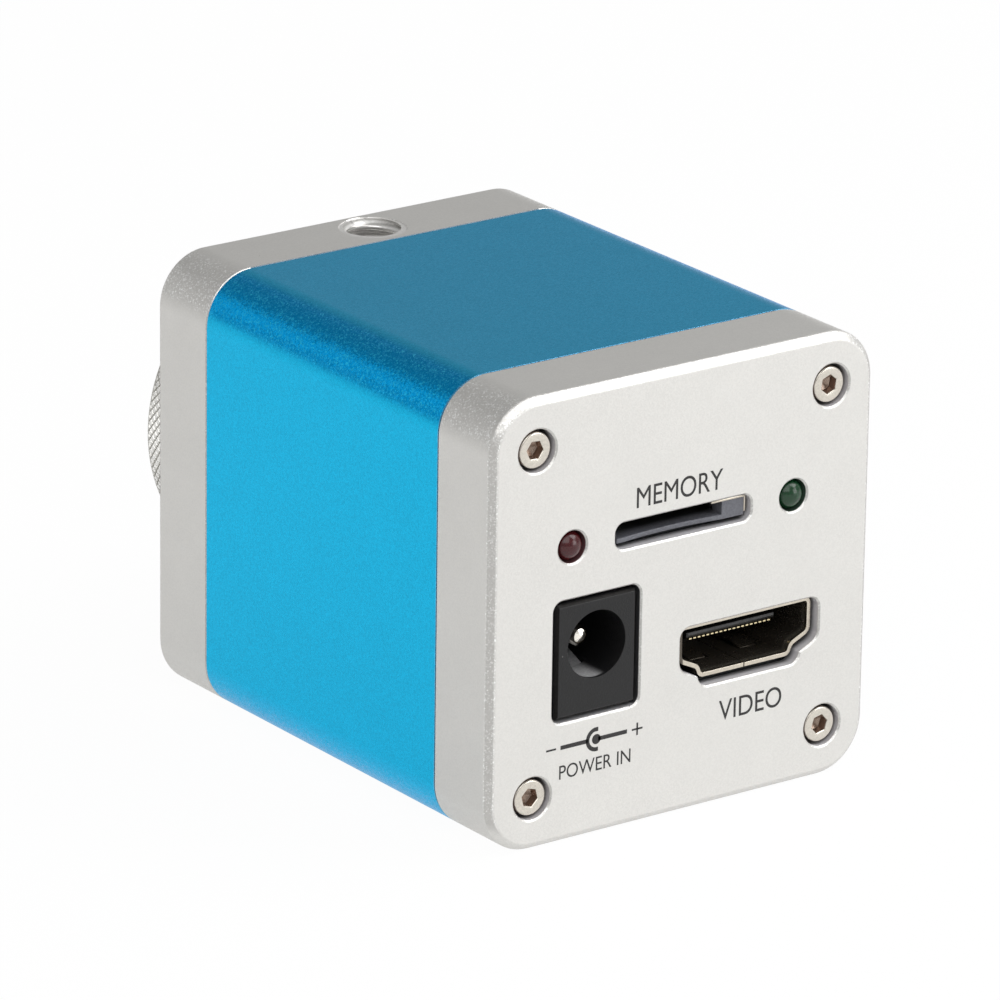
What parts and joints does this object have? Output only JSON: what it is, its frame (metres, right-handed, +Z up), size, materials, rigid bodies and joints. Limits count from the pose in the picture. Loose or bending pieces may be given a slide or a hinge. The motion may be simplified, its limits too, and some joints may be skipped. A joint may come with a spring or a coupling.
{
  "type": "microscope camera",
  "caption": "Box-shaped digital camera for a microscope port: blue extruded sleeve between silver end blocks, knurled lens ring in front, power, video and card sockets behind.",
  "frame": {"origin": "centre of the lens mount's flange face, on the optical axis", "axes": "+Y along the optical axis out of the lens mount, +Z up with the tripod thread, +X to the right when the rear panel is faced"},
  "size_m": [0.043, 0.0638, 0.043],
  "materials": {
    "silver_metal": "bead blasted, clear anodised",
    "blue_metal": "bead blasted, blue anodised",
    "ring_metal": "turned and knurled",
    "nickel": "nickel plated",
    "filter": "coated, faint cyan",
    "clear_glass": "polished",
    "ceramic": "fired ceramic",
    "silicon": "polished silicon",
    "seal": "soft black",
    "board": "solder mask",
    "black_plastic": "fine moulded grain",
    "grey_plastic": "moulded",
    "cream_plastic": "moulded",
    "plated_pin": "nickel plated",
    "plated_shell": "plated sheet steel",
    "spring_steel": "plain",
    "gold": "gold flashed",
    "red_lens": "tinted epoxy",
    "green_lens": "tinted epoxy",
    "chip": "moulded package",
    "sink_metal": "black anodised",
    "can_metal": "drawn can",
    "ferrite": "sintered",
    "ribbon": "laminated film"
  },
  "bodies": {
    "camera": {"rear_block": "silver_metal", "body_sleeve": "blue_metal", "front_block": "silver_metal", "rear_screws": "nickel", "front_screws": "nickel", "filter_glass": "filter", "image_sensor": "ceramic", "sensor_die": "silicon", "sensor_window": "clear_glass", "sensor_gasket": "seal", "sensor_board": "board", "sensor_screws": "nickel", "main_board": "board", "card_board": "board", "dc_jack_housing": "black_plastic", "dc_jack_pin": "plated_pin", "dc_jack_spring": "spring_steel", "video_socket_shell": "plated_shell", "video_socket_tongue": "black_plastic", "video_socket_contacts": "gold", "card_socket_base": "grey_plastic", "card_socket_cover": "plated_shell", "card_contacts": "gold", "card_spring": "spring_steel", "red_led": "red_lens", "green_led": "green_lens", "led_leads": "plated_shell", "processor": "chip", "heat_sink": "sink_metal", "memory_chip": "chip", "capacitors": "can_metal", "power_inductor": "ferrite", "board_header": "black_plastic", "header_pins": "gold", "main_connector": "cream_plastic", "sensor_connector": "cream_plastic", "ribbon_cable": "ribbon"},
    "ring": {"mount_ring": "ring_metal"},
    "slider": {"card_slider": "grey_plastic"}
  },
  "joints": [
    {"name": "ring_turn", "type": "hinge", "parent": "camera", "child": "ring", "pos_m": [0, 0, 0], "axis": [0, 1, 0], "range_deg": [0, 360]},
    {"name": "card_push", "type": "slide", "parent": "camera", "child": "slider", "axis": [0, 1, 0], "range_m": [0, 0.004], "stiffness_N_per_m": 60, "springref_m": -0.003, "deforming": ["card_spring"]}
  ]
}
